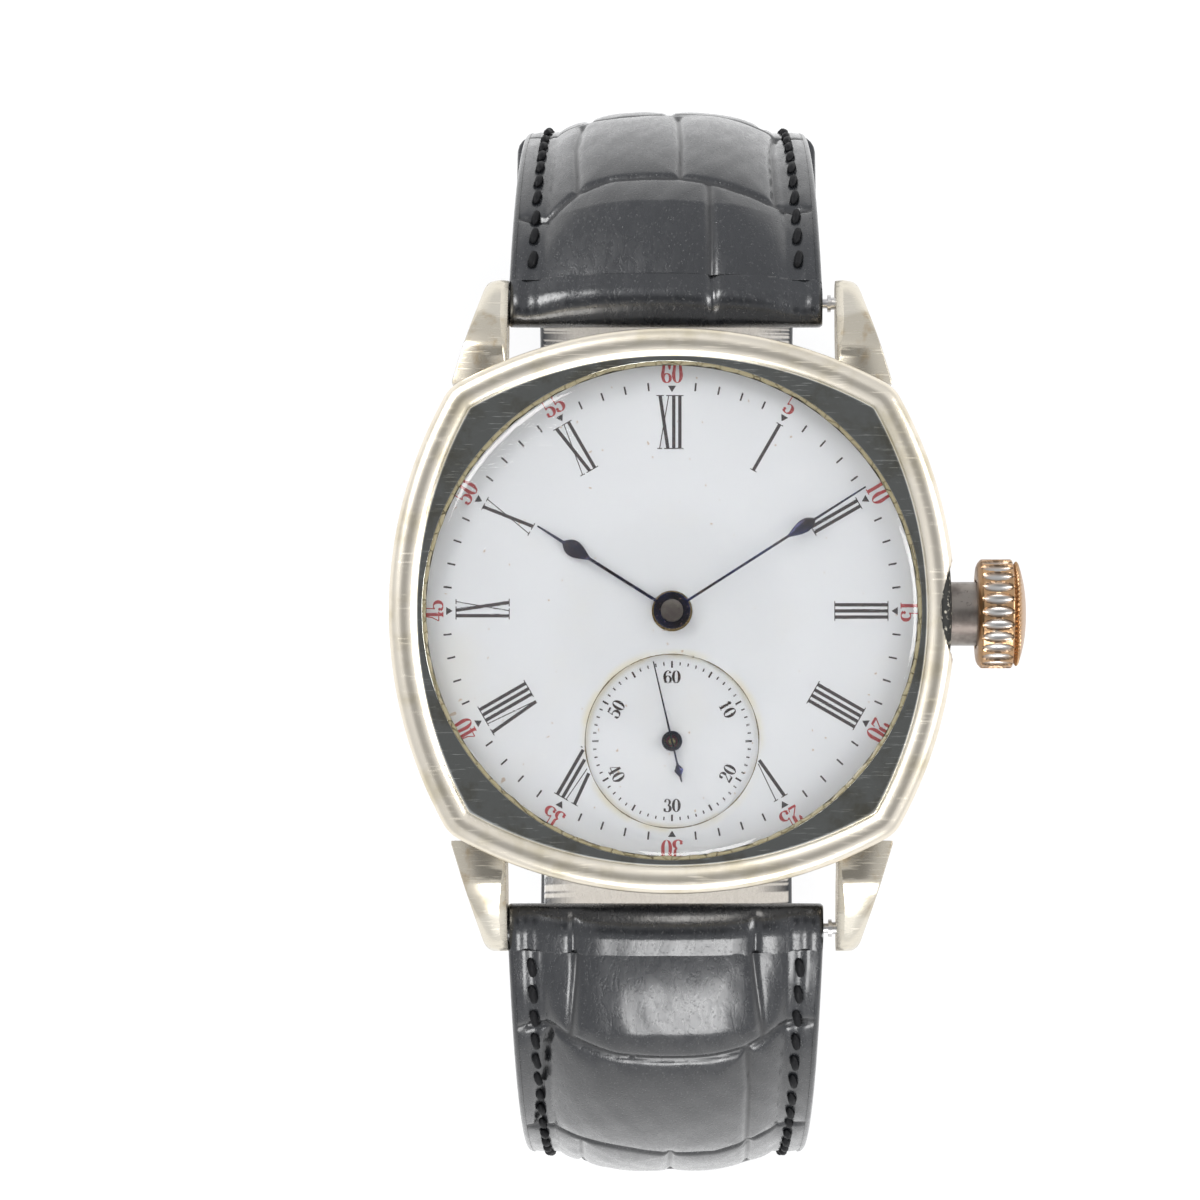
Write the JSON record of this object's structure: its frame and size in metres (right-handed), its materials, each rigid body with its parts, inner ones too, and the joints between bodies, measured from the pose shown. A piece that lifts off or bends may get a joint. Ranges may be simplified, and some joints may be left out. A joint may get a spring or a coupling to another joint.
{
  "type": "wristwatch",
  "caption": "Cushion-shaped hand-wound wristwatch with domed glass, enamel dial, pear hands, fluted crown and a padded leather strap closed in a loop.",
  "frame": {"origin": "on the dial's axis, in the plane that the closed strap and its buckle stand on", "axes": "+Z out of the dial towards the reader, +Y towards 12 o'clock, +X towards the crown at 3 o'clock"},
  "size_m": [0.0345, 0.0651, 0.0554],
  "materials": {
    "nickel": "worn polished nickel",
    "glass": "clear domed glass",
    "cement": "aged brown cement",
    "enamel": "glossy white enamel",
    "strap_leather": "black padded leather",
    "blued_steel": "blued steel",
    "buckle_steel": "satin steel",
    "steel": "polished steel",
    "brass": "gilt brass",
    "plate_brass": "frosted nickel-plated brass",
    "jewel": "ruby"
  },
  "bodies": {
    "case": {"bezel": "nickel", "case_middle": "nickel", "case_back": "nickel", "crystal": "glass", "crystal_cement": "cement", "pendant_tube": "nickel", "dial": "enamel", "seconds_dial": "enamel", "strap_upper": "strap_leather", "strap_lower": "strap_leather", "spring_bar_upper": "steel", "spring_bar_lower": "steel", "buckle_bar": "buckle_steel", "fixed_keeper": "strap_leather", "main_plate": "plate_brass", "barrel_bridge": "plate_brass", "train_bridge": "plate_brass", "balance_cock": "plate_brass", "pallet_bridge": "plate_brass", "bridge_screws": "steel", "jewels": "jewel", "hairspring": "blued_steel", "click_spring": "steel"},
    "fourth": {"fourth_wheel": "brass", "seconds_hand": "blued_steel"},
    "escape": {"escape_wheel": "brass"},
    "third": {"third_wheel": "brass"},
    "centre": {"centre_wheel": "brass", "cannon_pinion": "steel", "minute_hand": "blued_steel"},
    "hour": {"hour_wheel": "brass", "hour_hand": "blued_steel"},
    "minute_wheel": {"minute_wheel": "brass"},
    "setting_wheel": {"setting_wheel": "brass"},
    "barrel": {"mainspring_barrel": "brass", "mainspring": "steel"},
    "winding": {"winding_pinion": "steel"},
    "crown_wheel": {"crown_wheel": "steel"},
    "ratchet": {"ratchet_wheel": "steel", "barrel_arbor": "steel"},
    "crown": {"crown": "nickel", "stem": "steel"},
    "clutch": {"clutch": "steel"},
    "setting_lever": {"setting_lever": "steel"},
    "clutch_lever": {"clutch_lever": "steel"},
    "balance": {"balance_wheel": "brass"},
    "pallet": {"pallet_fork": "steel"},
    "click": {"click": "steel"},
    "bar_tip_upper_right": {"bar_tip_upper_right": "steel"},
    "bar_tip_upper_left": {"bar_tip_upper_left": "steel"},
    "bar_tip_lower_right": {"bar_tip_lower_right": "steel"},
    "bar_tip_lower_left": {"bar_tip_lower_left": "steel"},
    "buckle": {"buckle_frame": "buckle_steel"},
    "tongue": {"buckle_tongue": "buckle_steel"},
    "free_keeper": {"free_keeper": "strap_leather"}
  },
  "joints": [
    {"name": "seconds_turn", "type": "hinge", "parent": "case", "child": "fourth", "pos_m": [0, -0.007, 0.049], "axis": [0, 0, -1], "continuous": true},
    {"name": "escape_turn", "type": "hinge", "parent": "case", "child": "escape", "pos_m": [-0.00372, -0.006, 0.049], "axis": [0, 0, -1], "continuous": true},
    {"name": "third_turn", "type": "hinge", "parent": "case", "child": "third", "pos_m": [0.0029, -0.00413, 0.049], "axis": [0, 0, -1], "continuous": true},
    {"name": "minute_hand_turn", "type": "hinge", "parent": "case", "child": "centre", "pos_m": [0, 0, 0.049], "axis": [0, 0, -1], "continuous": true},
    {"name": "hour_hand_turn", "type": "hinge", "parent": "case", "child": "hour", "pos_m": [0, 0, 0.051], "axis": [0, 0, -1], "continuous": true},
    {"name": "minute_wheel_turn", "type": "hinge", "parent": "case", "child": "minute_wheel", "pos_m": [0.00271, 0.00098, 0.0506], "axis": [0, 0, -1], "continuous": true},
    {"name": "setting_wheel_turn", "type": "hinge", "parent": "case", "child": "setting_wheel", "pos_m": [0.0061, 0.00014, 0.0506], "axis": [0, 0, -1], "continuous": true},
    {"name": "barrel_turn", "type": "hinge", "parent": "case", "child": "barrel", "pos_m": [0.00329, 0.0057, 0.049], "axis": [0, 0, -1], "continuous": true},
    {"name": "crown_turn", "type": "hinge", "parent": "case", "child": "winding", "pos_m": [0.01055, 0, 0.0489], "axis": [1, 0, 0], "continuous": true},
    {"name": "crown_wheel_turn", "type": "hinge", "parent": "case", "child": "crown_wheel", "pos_m": [0.00795, 0, 0.0466], "axis": [0, 0, 1], "continuous": true},
    {"name": "ratchet_turn", "type": "hinge", "parent": "case", "child": "ratchet", "pos_m": [0.00329, 0.0057, 0.0466], "axis": [0, 0, 1], "continuous": true},
    {"name": "crown_pull", "type": "slide", "parent": "winding", "child": "crown", "axis": [1, 0, 0], "range_m": [0, 0.0011]},
    {"name": "clutch_slide", "type": "slide", "parent": "winding", "child": "clutch", "axis": [1, 0, 0], "range_m": [-0.0008, 0]},
    {"name": "setting_lever_turn", "type": "hinge", "parent": "case", "child": "setting_lever", "pos_m": [0.01187, 0.003, 0.0496], "axis": [0, 0, 1], "range_deg": [0, 21.05]},
    {"name": "clutch_lever_turn", "type": "hinge", "parent": "case", "child": "clutch_lever", "pos_m": [0.00915, -0.0051, 0.0489], "axis": [0, 0, 1], "range_deg": [0, 10.7]},
    {"name": "balance_swing", "type": "hinge", "parent": "case", "child": "balance", "pos_m": [-0.00642, -0.00124, 0.048], "axis": [0, 0, 1], "range_deg": [-270, 270]},
    {"name": "pallet_rock", "type": "hinge", "parent": "case", "child": "pallet", "pos_m": [-0.00543, -0.00397, 0.0487], "axis": [0, 0, 1], "range_deg": [-3, 3]},
    {"name": "click_rock", "type": "hinge", "parent": "case", "child": "click", "pos_m": [0.00495, 0.01147, 0.0465], "axis": [0, 0, 1], "range_deg": [-3, 0]},
    {"name": "bar_tip_upper_right_slide", "type": "slide", "parent": "case", "child": "bar_tip_upper_right", "axis": [-1, 0, 0], "range_m": [0, 0.0009], "stiffness_N_per_m": 200, "springref_m": -0.002},
    {"name": "bar_tip_upper_left_slide", "type": "slide", "parent": "case", "child": "bar_tip_upper_left", "axis": [1, 0, 0], "range_m": [0, 0.0009], "stiffness_N_per_m": 200, "springref_m": -0.002},
    {"name": "bar_tip_lower_right_slide", "type": "slide", "parent": "case", "child": "bar_tip_lower_right", "axis": [-1, 0, 0], "range_m": [0, 0.0009], "stiffness_N_per_m": 200, "springref_m": -0.002},
    {"name": "bar_tip_lower_left_slide", "type": "slide", "parent": "case", "child": "bar_tip_lower_left", "axis": [1, 0, 0], "range_m": [0, 0.0009], "stiffness_N_per_m": 200, "springref_m": -0.002},
    {"name": "buckle_swing", "type": "hinge", "parent": "case", "child": "buckle", "pos_m": [-0.00035, 0.003, 0.00415], "axis": [1, 0, 0], "range_deg": [0, 4]},
    {"name": "tongue_lift", "type": "hinge", "parent": "buckle", "child": "tongue", "pos_m": [-0.00035, 0.003, 0.00415], "axis": [1, 0, 0], "range_deg": [0, 8]},
    {"name": "keeper_slide", "type": "slide", "parent": "case", "child": "free_keeper", "axis": [0, 0.4787, 0.878], "range_m": [-0.0015, 0.0015]}
  ],
  "couplings": [
    {"joint": "escape_turn", "follows": "seconds_turn", "ratio": -10},
    {"joint": "third_turn", "follows": "seconds_turn", "ratio": -0.13333},
    {"joint": "minute_hand_turn", "follows": "seconds_turn", "ratio": 0.016667},
    {"joint": "hour_hand_turn", "follows": "seconds_turn", "ratio": 0.0013889},
    {"joint": "minute_wheel_turn", "follows": "seconds_turn", "ratio": -0.0055556},
    {"joint": "setting_wheel_turn", "follows": "seconds_turn", "ratio": 0.0090909},
    {"joint": "barrel_turn", "follows": "seconds_turn", "ratio": -0.0022222},
    {"joint": "crown_wheel_turn", "follows": "crown_turn", "ratio": 0.76923},
    {"joint": "ratchet_turn", "follows": "crown_turn", "ratio": -0.42553},
    {"joint": "clutch_slide", "follows": "crown_pull", "ratio": -0.72727},
    {"joint": "setting_lever_turn", "follows": "crown_pull", "rad_per_m": 333.33},
    {"joint": "clutch_lever_turn", "follows": "crown_pull", "rad_per_m": 169.13}
  ]
}
